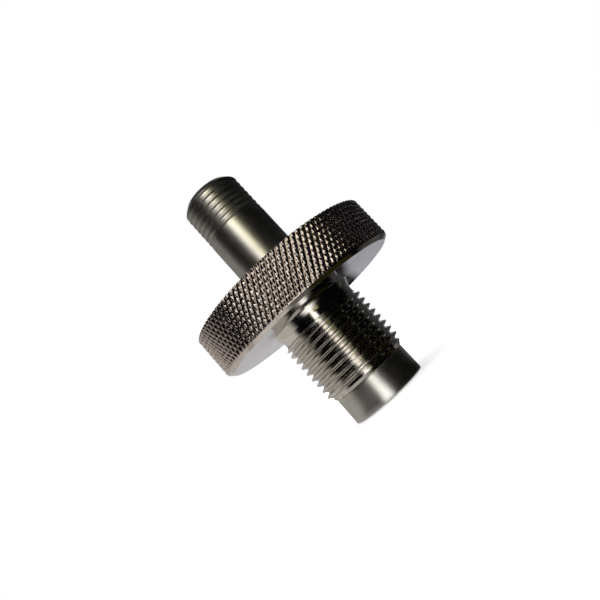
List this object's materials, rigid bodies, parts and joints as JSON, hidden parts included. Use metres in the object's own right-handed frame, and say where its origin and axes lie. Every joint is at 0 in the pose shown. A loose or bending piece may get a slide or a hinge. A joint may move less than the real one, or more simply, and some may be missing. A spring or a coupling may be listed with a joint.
{
  "type": "handwheel hose connector",
  "caption": "Turned stem with a sealed nose and a hose end, carrying a knurled handwheel with a male pipe thread that spins freely.",
  "frame": {"origin": "on the axis at the underside of the nose seal, which the connector stands on", "axes": "+Z along the axis from the nose to the hose end; X and Y are any two directions across it"},
  "size_m": [0.051, 0.051, 0.0666],
  "materials": {
    "stem_steel": "fine turned stainless steel, bright",
    "wheel_steel": "fine turned stainless steel, knurled rim",
    "seal_rubber": "smooth black rubber",
    "spring_steel": "dull spring steel"
  },
  "bodies": {
    "stem": {"stem": "stem_steel", "nose_o_ring": "seal_rubber", "retaining_ring": "spring_steel"},
    "handwheel": {"handwheel": "wheel_steel"}
  },
  "joints": [
    {"name": "handwheel_spin", "type": "hinge", "parent": "stem", "child": "handwheel", "pos_m": [0, 0, 0.0333], "axis": [0, 0, 1], "continuous": true}
  ]
}
